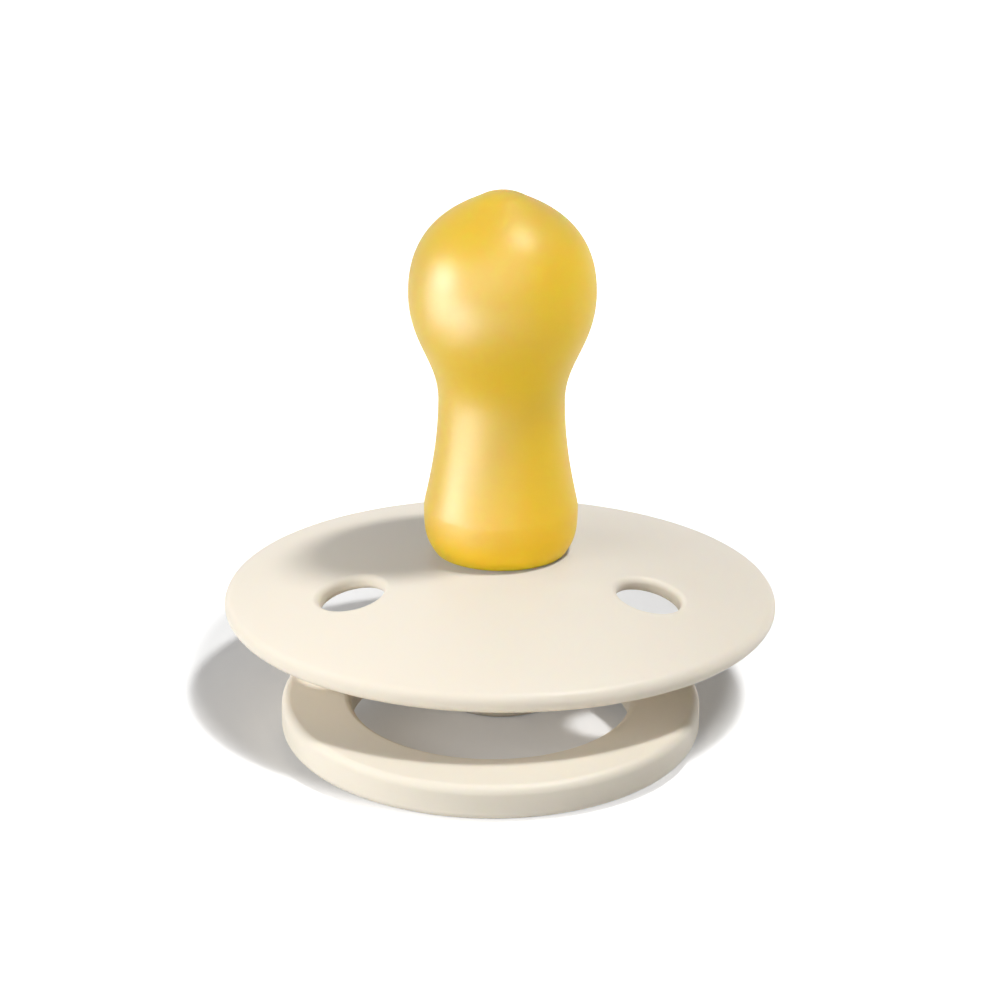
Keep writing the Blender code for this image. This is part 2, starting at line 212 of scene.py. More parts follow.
class StageSettings(bpy.types.PropertyGroup):
    """Camera, lamps and floor."""

    camera_distance: length("Camera distance", "Distance from the target", 0.5)
    camera_elevation: angle("Camera elevation", "Height of the camera above the horizon", 20.4)
    camera_roll: angle("Camera roll", "Turn of the camera about its own line of sight", 0.42)
    camera_lens: number("Lens", "Focal length in millimetres on a 36 mm sensor", 231.84)
    target_side: offset("Target side", "Place of the camera's target along X", -0.07 * MM)
    target_height: length("Target height", "Height of the camera's target", 16.5 * MM)
    floor_size: length("Floor size", "Side of the floor", 4.0)
    floor_lift: factor("Floor lift", "Light that the floor adds to what is seen near the soother", 0.11)
    far_lift: factor("Far lift", "Light that the floor adds to what is seen further off", 0.6)
    # The ellipse of weaker glow is set round the soother's shadow and stretched back behind the vents: painted
    # shade, leaving the floor there darker than further off.
    lift_side: offset("Lift side", "Place along X of the middle of the darker floor", -3 * MM)
    lift_back: offset("Lift back", "Place along Y of the middle of the darker floor", 6 * MM)
    lift_start: length("Lift start", "Distance along X at which the floor starts to grow lighter", 20.5 * MM)
    lift_end: length("Lift end", "Distance along X at which the floor is lightest", 23.5 * MM)
    white_start: length("White start", "Distance from which the floor turns plain white", 0.12)
    white_end: length("White end", "Distance beyond which the floor is plain white", 0.3)
    lift_stretch: factor("Lift stretch", "Share of X distances to Y distances on the floor", 0.78)
    floor_tint: colour("Floor colour", "Colour of the floor as it is seen", (0.90, 0.90, 0.90))
    floor_bounce: colour("Floor bounce", "Colour of the floor for the light that it throws back", (0.55, 0.55, 0.55))
    ambient: factor("Ambient", "Strength of the even light from all round", 0.0)
    key_power: power("Key power", "Power of the small lamp above right", 2.14)
    back_power: power("Back power", "Power of the wide lamp above and behind", 0.36)
    left_power: power("Left power", "Power of the lamp on the left", 1.0)
    corner_power: power("Corner power", "Power of the lamp in front on the left", 1.38)
    right_power: power("Right power", "Power of the lamp on the right", 0.25)
    bounce_power: power("Bounce power", "Power of the lamp on the floor at the right", 0.25)
    fill_power: power("Fill power", "Power of the lamp in front that lights only the latex", 0.61)
    key_sheen: power("Key sheen", "Power of the sheen from above right", 1.6)
    left_sheen: power("Left sheen", "Power of the sheen from the left", 8.6)
    corner_sheen: power("Corner sheen", "Power of the sheen from the left in front", 1.7)
    front_sheen: power("Front sheen", "Power of the wide sheen from above in front", 5.4)
    floor_sheen: power("Floor sheen", "Power of the sheen from the floor on the left", 2.3)
    near_sheen: power("Near sheen", "Power of the sheen from the floor on the left in front", 0.33)
    low_sheen: power("Low sheen", "Power of the sheen from the floor in front", 0.18)


class SootherSettings(bpy.types.PropertyGroup):
    """All settings of the soother and its stage."""

    shield: bpy.props.PointerProperty(type=ShieldSettings)
    nipple: bpy.props.PointerProperty(type=NippleSettings)
    knob: bpy.props.PointerProperty(type=KnobSettings)
    ring: bpy.props.PointerProperty(type=RingSettings)
    stage: bpy.props.PointerProperty(type=StageSettings)


class Value:
    """A node's output that Python's operators combine with numbers and other outputs."""

    def __init__(self, graph, socket):
        self.graph = graph
        self.socket = socket

    def out(self, name):
        """Another output of the same node."""
        return Value(self.graph, self.socket.node.outputs[name])

    def maths(self, operation, *terms):
        """A Math node on these terms."""
        return self.graph.add("ShaderNodeMath", {"operation": operation}, dict(enumerate(terms)))

    def __add__(self, other):
        return self.maths("ADD", self, other)

    def __radd__(self, other):
        return self.maths("ADD", other, self)

    def __sub__(self, other):
        return self.maths("SUBTRACT", self, other)

    def __rsub__(self, other):
        return self.maths("SUBTRACT", other, self)

    def __mul__(self, other):
        return self.maths("MULTIPLY", self, other)

    def __rmul__(self, other):
        return self.maths("MULTIPLY", other, self)

    def __truediv__(self, other):
        return self.maths("DIVIDE", self, other)

    def __rtruediv__(self, other):
        return self.maths("DIVIDE", other, self)

    def __pow__(self, other):
        return self.maths("POWER", self, other)

    def __abs__(self):
        return self.maths("ABSOLUTE", self)

    def floor(self):
        return self.maths("FLOOR", self)

    def sign(self):
        return self.maths("SIGN", self)

    def sine(self):
        return self.maths("SINE", self)

    def cosine(self):
        return self.maths("COSINE", self)

    def at_most(self, limit):
        return self.maths("MINIMUM", self, limit)


class Graph:
    """A node tree that is written as Python expressions."""

    def __init__(self, tree):
        self.tree = tree

    def add(self, kind, settings=None, inputs=None, output=0):
        """Adds a node, sets its settings and its sockets, and gives one of its outputs."""
        node = self.tree.nodes.new(kind)
        for name, setting in (settings or {}).items():
            setattr(node, name, setting)
        for key, value in (inputs or {}).items():
            if isinstance(value, Value):
                self.tree.links.new(value.socket, node.inputs[key])
            else:
                node.inputs[key].default_value = value
        return Value(self, node.outputs[output]) if node.outputs else node

    def blend(self, share, first, second):
        """A colour between two colours."""
        inputs = {0: share, 6: first, 7: second}
        return self.add("ShaderNodeMix", {"data_type": "RGBA"}, inputs, output=2)

    def ramp(self, value, start, end, low, high):
        """A soft step from one value to another."""
        inputs = {"Value": value, "From Min": start, "From Max": end, "To Min": low, "To Max": high}
        return self.add("ShaderNodeMapRange", {"interpolation_type": "SMOOTHSTEP"}, inputs)

    def declare(self, name, kind, direction="INPUT"):
        """Adds a socket to the tree's own interface."""
        return self.tree.interface.new_socket(name=name, in_out=direction, socket_type=kind)


def rgba(tint):
    """A colour with full alpha."""
    return (*tint, 1.0)


def new_material(name):
    """An empty node material and its graph."""
    material = bpy.data.materials.new(name)
    material.use_nodes = True
    material.node_tree.nodes.clear()
    return material, Graph(material.node_tree)


def satin_plastic(name, tint):
    """Moulded cream plastic: a faint cloud in its colour, and a fine satin grain."""
    material, graph = new_material(name)
    place = graph.add("ShaderNodeTexCoord").out("Object")
    cloud = graph.add("ShaderNodeTexNoise", {}, {"Vector": place, "Scale": 90, "Detail": 3.0})
    grain = graph.add("ShaderNodeTexNoise", {}, {"Vector": place, "Scale": 7000, "Detail": 2.0})
    pale = [min(1.0, 1.012 * part) for part in tint]
    dark = [0.985 * part for part in tint]
    bump = graph.add("ShaderNodeBump", {}, {"Strength": 0.12, "Distance": 0.01 * MM, "Height": grain})
    shader = graph.add("ShaderNodeBsdfPrincipled", {}, {
        "Base Color": graph.blend(cloud, rgba(dark), rgba(pale)),
        "Roughness": 0.44 + 0.1 * cloud,
        "Normal": bump,
        "Subsurface Weight": 0.15,
        "Subsurface Radius": (1.0, 0.7, 0.4),
        "Subsurface Scale": 1.0 * MM,
    })
    graph.add("ShaderNodeOutputMaterial", {}, {"Surface": shader})
    return material


def latex(name, nipple, crown_height):
    """Translucent amber latex with faint clouds from dipping; towards the foot its amber is brighter and more
    saturated, partly its own colour and partly painted glow of light passing through the latex.
    """
    material, graph = new_material(name)
    place = graph.add("ShaderNodeTexCoord").out("Object")
    height = graph.add("ShaderNodeSeparateXYZ", {}, {"Vector": place}).out("Z")
    cloud = graph.add("ShaderNodeTexNoise", {}, {"Vector": place, "Scale": 160, "Detail": 2.0})
    skin = graph.add("ShaderNodeTexNoise", {}, {"Vector": place, "Scale": 1500, "Detail": 2.0})
    # Height blend towards the foot's amber: painted glow of light through the latex low down, mixed with the latex's
    # own colour.
    rise = graph.ramp(height, crown_height, crown_height + nipple.neck_height, 0.0, 1.0)
    share = (rise + 0.2 * (cloud - 0.5)).at_most(1.0)
    bump = graph.add("ShaderNodeBump", {}, {"Strength": 0.08, "Distance": 0.02 * MM, "Height": skin})
    shader = graph.add("ShaderNodeBsdfPrincipled", {}, {
        "Base Color": graph.blend(share, rgba(nipple.foot_tint_and_glow), rgba(nipple.tint)),
        "Roughness": 0.41 + 0.05 * cloud,
        "Specular IOR Level": 0.35,
        "Normal": bump,
        "Subsurface Weight": 1.0,
        "Subsurface Radius": (1.0, 0.6, 0.15),
        "Subsurface Scale": nipple.depth,
    })
    graph.add("ShaderNodeOutputMaterial", {}, {"Surface": shader})
    return material


def seen_rays(graph):
    """1 for rays that show the stage itself, to the camera or in a gloss, and 0 for rays that light."""
    path = graph.add("ShaderNodeLightPath")
    shown = path.out("Is Camera Ray") + path.out("Is Glossy Ray") + path.out("Is Transmission Ray")
    return shown.at_most(1.0)


def floor_material(stage):
    """A matt white floor that keeps the shadow; a camera-only glow, weaker inside an ellipse round and behind the
    shadow, paints the floor darker there and white further off.
    """
    material, graph = new_material("floor")
    seen = seen_rays(graph)
    tint = graph.blend(seen, rgba(stage.floor_bounce), rgba(stage.floor_tint))
    matt = graph.add("ShaderNodeBsdfDiffuse", {}, {"Color": tint})
    place = graph.add("ShaderNodeTexCoord").out("Object")
    # Ellipse round and behind the shadow where the seen glow stays weak: painted darker floor, also seen through the
    # vents.
    squeeze = {0: place, 1: (1, stage.lift_stretch, 1)}
    spot = graph.add("ShaderNodeVectorMath", {"operation": "MULTIPLY"}, squeeze)
    middle = (stage.lift_side, stage.lift_back * stage.lift_stretch, 0)
    reach = graph.add("ShaderNodeVectorMath", {"operation": "DISTANCE"}, {0: spot, 1: middle}, output=1)
    added = graph.ramp(reach, stage.lift_start, stage.lift_end, stage.floor_lift, stage.far_lift)
    white = graph.ramp(reach, stage.white_start, stage.white_end, 0, 1 - stage.far_lift)
    lift = graph.add("ShaderNodeEmission", {}, {"Strength": seen * (added + white)})
    both = graph.add("ShaderNodeAddShader", {}, {0: matt, 1: lift})
    graph.add("ShaderNodeOutputMaterial", {}, {"Surface": both})
    return material


def turning_tree():
    """Turns an outline, with radius along X and height along Z, about the Z axis."""
    graph = Graph(bpy.data.node_groups.new("Turn outline", "GeometryNodeTree"))
    graph.declare("Outline", "NodeSocketGeometry")
    graph.declare("Steps", "NodeSocketInt")
    graph.declare("Material", "NodeSocketMaterial")
    graph.declare("Piece", "NodeSocketGeometry", "OUTPUT")
    given = graph.add("NodeGroupInput")
    outline = given.out("Outline")
    steps = given.out("Steps")
    rows = graph.add("GeometryNodeAttributeDomainSize", {}, {"Geometry": outline}).out("Point Count")
    grid = graph.add("GeometryNodeMeshGrid", {}, {"Vertices X": steps + 1, "Vertices Y": rows})
    index = graph.add("GeometryNodeInputIndex")
    column = (index / rows).floor()
    spot = graph.add("GeometryNodeSampleIndex", {"data_type": "FLOAT_VECTOR"}, {
        "Geometry": outline,
        "Value": graph.add("GeometryNodeInputPosition"),
        "Index": index - column * rows,
    })
    place = graph.add("ShaderNodeSeparateXYZ", {}, {"Vector": spot})
    turn = column / steps * FULL_TURN
    spun = graph.add("ShaderNodeCombineXYZ", {}, {
        "X": place.out("X") * turn.cosine(),
        "Y": place.out("X") * turn.sine(),
        "Z": place.out("Z"),
    })
    finish_tree(graph, grid, spun, given.out("Material"))
    return graph.tree


def finish_tree(graph, grid, position, material):
    """Places the grid's points, closes its seams and gives it its material."""
    placed = graph.add("GeometryNodeSetPosition", {}, {"Geometry": grid, "Position": position})
    closed = graph.add("GeometryNodeMergeByDistance", {}, {"Geometry": placed, "Distance": MERGE_DISTANCE})
    real = graph.add("GeometryNodeRealizeInstances", {}, {"Geometry": closed})
    painted = graph.add("GeometryNodeSetMaterial", {}, {"Geometry": real, "Material": material})
    graph.add("NodeGroupOutput", {}, {"Piece": painted})


def ring_tree():
    """Lays a section along the ring's path: a circle at the bar, an oblong with rounded edges at the band."""
    graph = Graph(bpy.data.node_groups.new("Ring", "GeometryNodeTree"))
    graph.declare("Path", "NodeSocketGeometry")
    for name in ("Bar Radius", "Half Width", "Half Height", "Rounding"):
        graph.declare(name, "NodeSocketFloat")
    graph.declare("Sides", "NodeSocketInt")
    graph.declare("Material", "NodeSocketMaterial")
    graph.declare("Piece", "NodeSocketGeometry", "OUTPUT")
    given = graph.add("NodeGroupInput")
    path = given.out("Path")
    sides = given.out("Sides")
    bar = given.out("Bar Radius")
    stations = graph.add("GeometryNodeAttributeDomainSize", {}, {"Geometry": path}).out("Point Count")
    grid = graph.add("GeometryNodeMeshGrid", {}, {"Vertices X": stations + 1, "Vertices Y": sides + 1})
    index = graph.add("GeometryNodeInputIndex")
    column = (index / (sides + 1)).floor()
    station = column.maths("FLOORED_MODULO", column, stations)

    def at_station(name, kind):
        """What the path holds at the station of a grid point."""
        held = graph.add("GeometryNodeInputNamedAttribute", {"data_type": kind}, {"Name": name})
        inputs = {"Geometry": path, "Value": held, "Index": station}
        return graph.add("GeometryNodeSampleIndex", {"data_type": kind}, inputs)

    share = at_station("share", "FLOAT")
    turn = at_station("turn", "FLOAT")
    spot = graph.add("ShaderNodeSeparateXYZ", {}, {"Vector": at_station("position", "FLOAT_VECTOR")})
    ease = share * share * (3 - 2 * share)
    half_width = bar + (given.out("Half Width") - bar) * ease
    half_height = bar + (given.out("Half Height") - bar) * ease
    rounding = bar + (given.out("Rounding") - bar) * ease
    around = (index - column * (sides + 1) + 0.5) / sides * FULL_TURN
    side = around.cosine()
    rise = around.sine()
    across = (half_width - rounding) * side.sign() + rounding * side
    up = (half_height - rounding) * rise.sign() + rounding * rise
    laid = graph.add("ShaderNodeCombineXYZ", {}, {
        "X": spot.out("X") + across * turn.cosine(),
        "Y": spot.out("Y") + across * turn.sine(),
        "Z": up,
    })
    finish_tree(graph, grid, laid, given.out("Material"))
    return graph.tree


def grow(name, points, tree, settings, attributes=None):
    """Runs a Geometry Nodes tree on these points and gives its result as a plain mesh."""
    mesh = bpy.data.meshes.new(name)
    mesh.from_pydata(points, [], [])
    for key, values in (attributes or {}).items():
        mesh.attributes.new(key, "FLOAT", "POINT").data.foreach_set("value", values)
    host = bpy.data.objects.new(name + "_host", mesh)
    bpy.context.scene.collection.objects.link(host)
    modifier = host.modifiers.new("Shape", "NODES")
    modifier.node_group = tree
    for socket in tree.interface.items_tree:
        if socket.name in settings:
            modifier[socket.identifier] = settings[socket.name]
    shape = evaluated_mesh(host)
    bpy.data.objects.remove(host)
    return shape


def evaluated_mesh(host):
    """The object's shape with its modifiers, as a plain mesh."""
    depsgraph = bpy.context.evaluated_depsgraph_get()
    return bpy.data.meshes.new_from_object(host.evaluated_get(depsgraph), depsgraph=depsgraph)


def add_piece(name, mesh, node, body):
    """Makes a finished piece that stands for a node, rides on its body and has its material slot.

    The mesh's last material goes on all of its faces, also on those that a Boolean made.
    """
    material = mesh.materials[-1]
    mesh.materials.clear()
    mesh.materials.append(material)
    mesh.polygons.foreach_set("material_index", [0] * len(mesh.polygons))
    work = bmesh.new()
    work.from_mesh(mesh)
    bmesh.ops.recalc_face_normals(work, faces=work.faces)
    work.to_mesh(mesh)
    work.free()
    mesh.shade_smooth()
    mesh.set_sharp_from_angle(angle=SHARP_ANGLE)
    piece = bpy.data.objects.new(name, mesh)
    bpy.context.scene.collection.objects.link(piece)
    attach(piece, body)
    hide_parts(node)
    return piece


def arc(centre, radius, start, end, steps):
    """Points (radius, height) along an arc, with angles in radians from the +radius direction."""
    points = []
    for i in range(steps + 1):
        turn = start + (end - start) * i / steps
        points.append((centre[0] + radius * math.cos(turn), centre[1] + radius * math.sin(turn)))
    return points


def bezier(start, start_handle, end_handle, end, steps):
    """Points (radius, height) along one Bezier stretch, without its end."""
    knots = [Vector((*point, 0)) for point in (start, start_handle, end_handle, end)]
    return [(point.x, point.y) for point in interpolate_bezier(*knots, steps + 1)[:-1]]


def upright_bezier(start, end, ease, steps):
    """A Bezier stretch that leaves its start and reaches its end straight up."""
    rise = end[1] - start[1]
    start_handle = (start[0], start[1] + ease[0] * rise)
    end_handle = (end[0], end[1] - ease[1] * rise)
    return bezier(start, start_handle, end_handle, end, steps)


def inset(curve, distance):
    """The curve moved this far to the left of its direction of travel."""
    moved = []
    for i, (radius, height) in enumerate(curve):
        before = Vector(curve[max(i - 1, 0)])
        after = Vector(curve[min(i + 1, len(curve) - 1)])
        along = (after - before).normalized()
        moved.append((radius - along.y * distance, height + along.x * distance))
    return moved


def dome_height(shield, radius):
    """Height of the dome's outside at this distance from the axis."""
    return shield.crown_height - shield.dome_radius + math.sqrt(shield.dome_radius**2 - radius**2)


def rim_turn(shield):
    """Angle at the dome's centre between the axis and the middle of the rim."""
    half = shield.rim_thickness / 2
    return math.asin((shield.radius - half) / (shield.dome_radius - half))


def inner_dome(shield):
    """Centre height and radius of the dome's inside, from the crown's underside to the rim's inner end."""
    turn = rim_turn(shield)
    reach = shield.dome_radius - shield.rim_thickness
    crown = shield.crown_height - shield.crown_thickness
    rise = crown - (shield.crown_height - shield.dome_radius + reach * math.cos(turn))
    radius = ((reach * math.sin(turn)) ** 2 + rise**2) / (2 * rise)
    return crown - radius, radius


def seat_height(shield):
    """Height of the seat behind the shield on which the nipple's flange lies."""
    centre, radius = inner_dome(shield)
    return centre + math.sqrt(radius**2 - shield.socket_radius**2)


def spun_loops(mesh, profile, steps):
    """Loops of points, one for each (radius, height) of the profile, turned about the Z axis."""
    turns = [FULL_TURN * i / steps for i in range(steps)]
    loops = []
    for radius, height in profile:
        spots = [(radius * math.cos(turn), radius * math.sin(turn), height) for turn in turns]
        loops.append([mesh.verts.new(spot) for spot in spots])
    return loops


def skin_loops(mesh, loops):
    """Faces between each loop and the next."""
    for first, second in zip(loops, loops[1:]):
        for i in range(len(first)):
            mesh.faces.new((first[i - 1], second[i - 1], second[i], first[i]))


def middle_of(loop):
    """The centre of a loop of points and its radius."""
    centre = sum((point.co for point in loop), Vector()) / len(loop)
    return centre, (loop[0].co - centre).length


def dome_patch(mesh, centre_height, radius, outer, holes, spacing):
    """Fills the sphere between an outer loop and the holes with even triangles."""
    fixed = [point for loop in (outer, *holes) for point in loop]
    edges = []
    for loop in (outer, *holes):
        first = fixed.index(loop[0])
        edges += [(first + i, first + (i + 1) % len(loop)) for i in range(len(loop))]
    reach = middle_of(outer)[1]
    openings = [middle_of(loop) for loop in holes]
    points = list(fixed)
    margin = 0.7 * spacing
    for i in range(1, int((reach - margin) / spacing) + 1):
        ring = i * spacing
        around = max(6, round(FULL_TURN * ring / spacing))
        for j in range(around):
            turn = FULL_TURN * (j + 0.5 * (i % 2)) / around
            height = centre_height + math.sqrt(radius**2 - ring**2)
            spot = Vector((ring * math.cos(turn), ring * math.sin(turn), height))
            if all((spot - centre).length > size + margin for centre, size in openings):
                points.append(mesh.verts.new(spot))
    flat = [point.co.xy for point in points]
    found = delaunay_2d_cdt(flat, edges, [], 0, MERGE_DISTANCE / 100)
    owners = {}
    for number_of_loop, loop in enumerate(holes):
        for point in loop:
            owners[point] = number_of_loop
    for face in found[2]:
        corners = [points[found[3][i][0]] for i in face]
        loops = {owners.get(corner) for corner in corners}
        if len(loops) > 1 or None in loops:
            mesh.faces.new(corners)


def rim_profile(shield):
    """The fully rounded rim, from the dome's outside to its inside."""
    half = shield.rim_thickness / 2
    turn = rim_turn(shield)
    height = shield.crown_height - shield.dome_radius + (shield.dome_radius - half) * math.cos(turn)
    return arc((shield.radius - half, height), half, QUARTER_TURN - turn, -QUARTER_TURN - turn, 20)


def socket_profile(shield):
    """The socket from the dome's inside round its end to its seat, and on through the centre hole."""
    centre, radius = inner_dome(shield)
    soft = shield.edge_rounding
    outside = shield.socket_radius + shield.socket_wall
    seat = seat_height(shield)
    end = seat - shield.socket_depth
    root_radius = outside + soft
    root_height = math.sqrt((radius - soft) ** 2 - root_radius**2)
    profile = arc((root_radius, centre + root_height), soft, math.atan2(root_height, root_radius), math.pi, 8)
    profile += arc((outside - soft, end + soft), soft, 0, -QUARTER_TURN, 6)
    profile += arc((shield.socket_radius + soft, end + soft), soft, -QUARTER_TURN, -math.pi, 6)
    profile += [(shield.socket_radius, seat), (shield.hole_radius, seat)]
    return profile + [(shield.hole_radius, dome_height(shield, shield.hole_radius))]


def vent_edge(mesh, shield, axis, centre, radius, side):
    """Loops round a vent, from its wall out to the dome's outside (side 1) or inside (side -1)."""
    soft = shield.vent_rounding
    dome = Vector((0, 0, centre))
    foot = Vector((0, 0, shield.crown_height - shield.dome_radius))
    right = axis.orthogonal().normalized()
    ahead = axis.cross(right)
    columns = []
    for i in range(shield.vent_steps):
        turn = FULL_TURN * i / shield.vent_steps
        outward = right * math.cos(turn) + ahead * math.sin(turn)
        start = foot + outward * (shield.vent_radius + soft) - dome
        along = start.dot(axis)
        reach = radius - side * soft
        middle = start + axis * (math.sqrt(along**2 + reach**2 - start.length_squared) - along)
        surface = side * middle.normalized()
        turns = [(-outward).slerp(surface, j / VENT_EDGE_STEPS) for j in range(VENT_EDGE_STEPS + 1)]
        columns.append([dome + middle + soft * towards for towards in turns])
    return [[mesh.verts.new(spot) for spot in loop] for loop in zip(*columns)]


def shield_mesh(shield):
    """The dome with its rim, the two vents with rounded edges, the socket and the centre hole."""
    outer_centre, outer = shield.crown_height - shield.dome_radius, shield.dome_radius
    inner_centre, inner = inner_dome(shield)
    mesh = bmesh.new()
    rim_loops = spun_loops(mesh, rim_profile(shield), shield.steps)
    skin_loops(mesh, rim_loops)
    socket_loops = spun_loops(mesh, socket_profile(shield), shield.steps)
    skin_loops(mesh, socket_loops)
    top_holes = [socket_loops[-1]]
    under_holes = [socket_loops[0]]
    lean = math.asin(shield.vent_reach / outer)
    for side in (1, -1):
        across = side * math.sin(lean) * math.cos(shield.vent_turn)
        forward = -math.sin(lean) * math.sin(shield.vent_turn)
        axis = Vector((across, forward, math.cos(lean)))
        loops = vent_edge(mesh, shield, axis, outer_centre, outer, 1)[::-1]
        loops += vent_edge(mesh, shield, axis, inner_centre, inner, -1)
        skin_loops(mesh, loops)
        top_holes.append(loops[0])
        under_holes.append(loops[-1])
    dome_patch(mesh, outer_centre, outer, rim_loops[0], top_holes, shield.spacing)
    dome_patch(mesh, inner_centre, inner, rim_loops[-1], under_holes, shield.spacing)
    data = bpy.data.meshes.new("shield_moulding")
    mesh.to_mesh(data)
    mesh.free()
    return data


def nipple_skin(nipple, shield):
    """The nipple's outside from its heel on the shield up: foot, neck, bulb, cap and soft point."""
    crown_height = shield.crown_height
    full_length = nipple.tip_height - crown_height
    bulb_height = full_length - nipple.cap_height
    slope = Vector((math.cos(nipple.nub_slope), -math.sin(nipple.nub_slope)))
    lean = Vector((math.sin(nipple.heel_lean), math.cos(nipple.heel_lean)))
    heel_height = dome_height(shield, nipple.heel_radius) + nipple.heel_gap - crown_height
    heel = Vector((nipple.heel_radius, heel_height))
    foot_rise = nipple.foot_height - heel.y
    heel_handle = heel + lean * 0.35 * foot_rise
    foot_handle = (nipple.foot_radius, nipple.foot_height - 0.57 * foot_rise)
    foot = (nipple.foot_radius, nipple.foot_height)
    neck = (nipple.neck_radius, nipple.neck_height)
    bulb = (nipple.bulb_radius, bulb_height)
    bulb_handle = (nipple.bulb_radius, bulb_height + 0.665 * nipple.cap_height)
    nub = Vector((nipple.nub_radius, full_length - nipple.nub_height))
    cap_handle = nub + slope * 0.26 * nipple.bulb_radius
    nub_handle = nub - slope * 0.33 * nipple.nub_radius
    tip = (0, full_length)
    skin = bezier(heel, heel_handle, foot_handle, foot, 14)
    skin += upright_bezier(foot, neck, (0.07, 0.535), 24)
    skin += upright_bezier(neck, bulb, (0.385, 0.455), 24)
    skin += bezier(bulb, bulb_handle, cap_handle, nub, 24)
    skin += bezier(nub, nub_handle, (0.23 * nipple.nub_radius, full_length), tip, 10)
    skin.append(tip)
    return [(radius, crown_height + height) for radius, height in skin]


def nipple_hollow(nipple, shield, skin):
    """The hollow from the flange's mouth up to its top on the axis, one wall inside the skin."""
    bore = nipple.groove_radius - nipple.wall
    crown = shield.crown_height
    mouth = (bore, flange_top(shield) - nipple.flange_thickness)
    top = (0, nipple.tip_height - nipple.wall)
    inside = inset(skin, nipple.wall)[:-1]
    room = [(r, z) for r, z in inside if z > crown + nipple.wall and r > 0.5 * nipple.wall]
    return [mouth, (bore, crown), *room, top]


def flange_top(shield):
    """Height of the upper face of the nipple's flange."""
    return seat_height(shield) - bpy.context.scene.soother.knob.fit_gap


def as_points(outline):
    """An outline of (radius, height) as points in the XZ plane."""
    return [(radius, 0, height) for radius, height in outline]


def turned_mesh(name, outline, steps, material):
    """The mesh of an outline turned about Z."""
    tree = bpy.data.node_groups.get("Turn outline") or turning_tree()
    return grow(name, as_points(outline), tree, {"Steps": steps, "Material": material})


def prism(name, outline, half_length):
    """An object with an outline of (y, z) points, drawn out along X to both sides."""
    work = bmesh.new()
    face = work.faces.new([work.verts.new((-half_length, y, z)) for y, z in outline])
    grown = bmesh.ops.extrude_face_region(work, geom=[face], use_keep_orig=True)["geom"]
    far_points = [item for item in grown if isinstance(item, bmesh.types.BMVert)]
    bmesh.ops.translate(work, verts=far_points, vec=(2 * half_length, 0, 0))
    bmesh.ops.recalc_face_normals(work, faces=work.faces)
    data = bpy.data.meshes.new(name)
    work.to_mesh(data)
    work.free()
    return bpy.data.objects.new(name, data)


def with_boolean(name, mesh, operation, outline, half_length):
    """The mesh after a Boolean with a prism along X."""
    work = bmesh.new()
    work.from_mesh(mesh)
    bmesh.ops.recalc_face_normals(work, faces=work.faces)
    work.to_mesh(mesh)
    work.free()
    host = bpy.data.objects.new(name + "_host", mesh)
    other = prism(name + "_prism", outline, half_length)
    for helper in (host, other):
        bpy.context.scene.collection.objects.link(helper)
    boolean = host.modifiers.new("Cut", "BOOLEAN")
    boolean.operation = operation
    boolean.object = other
    shape = evaluated_mesh(host)
    bpy.data.objects.remove(host)
    bpy.data.objects.remove(other)
    return shape


class SOOTHER_OT_shield(bpy.types.Operator):
    """Build the domed shield with its vents, rounded rim and socket"""

    bl_idname = "soother.shield"
    bl_label = "Shield"

    def execute(self, context):
        shield = context.scene.soother.shield
        mesh = shield_mesh(shield)
        mesh.materials.append(satin_plastic("shield_satin", shield.tint))
        add_piece("shield_moulding", mesh, "shield", "soother")
        return {"FINISHED"}


class SOOTHER_OT_nipple(bpy.types.Operator):
    """Build the hollow latex nipple"""

    bl_idname = "soother.nipple"
    bl_label = "Nipple"

    def execute(self, context):
        settings = context.scene.soother
        nipple, shield = settings.nipple, settings.shield
        skin = nipple_skin(nipple, shield)
        hollow = nipple_hollow(nipple, shield, skin)
        top = flange_top(shield)
        rest = dome_height(shield, nipple.groove_radius) + nipple.heel_gap
        outline = skin[::-1]
        outline += [(nipple.groove_radius, rest), (nipple.groove_radius, top)]
        outline += [(nipple.flange_radius, top), (nipple.flange_radius, hollow[0][1])]
        amber = latex("nipple_latex", nipple, shield.crown_height)
        mesh = turned_mesh("nipple_teat", outline + hollow, nipple.steps, amber)
        add_piece("nipple_teat", mesh, "nipple", "soother")
        return {"FINISHED"}


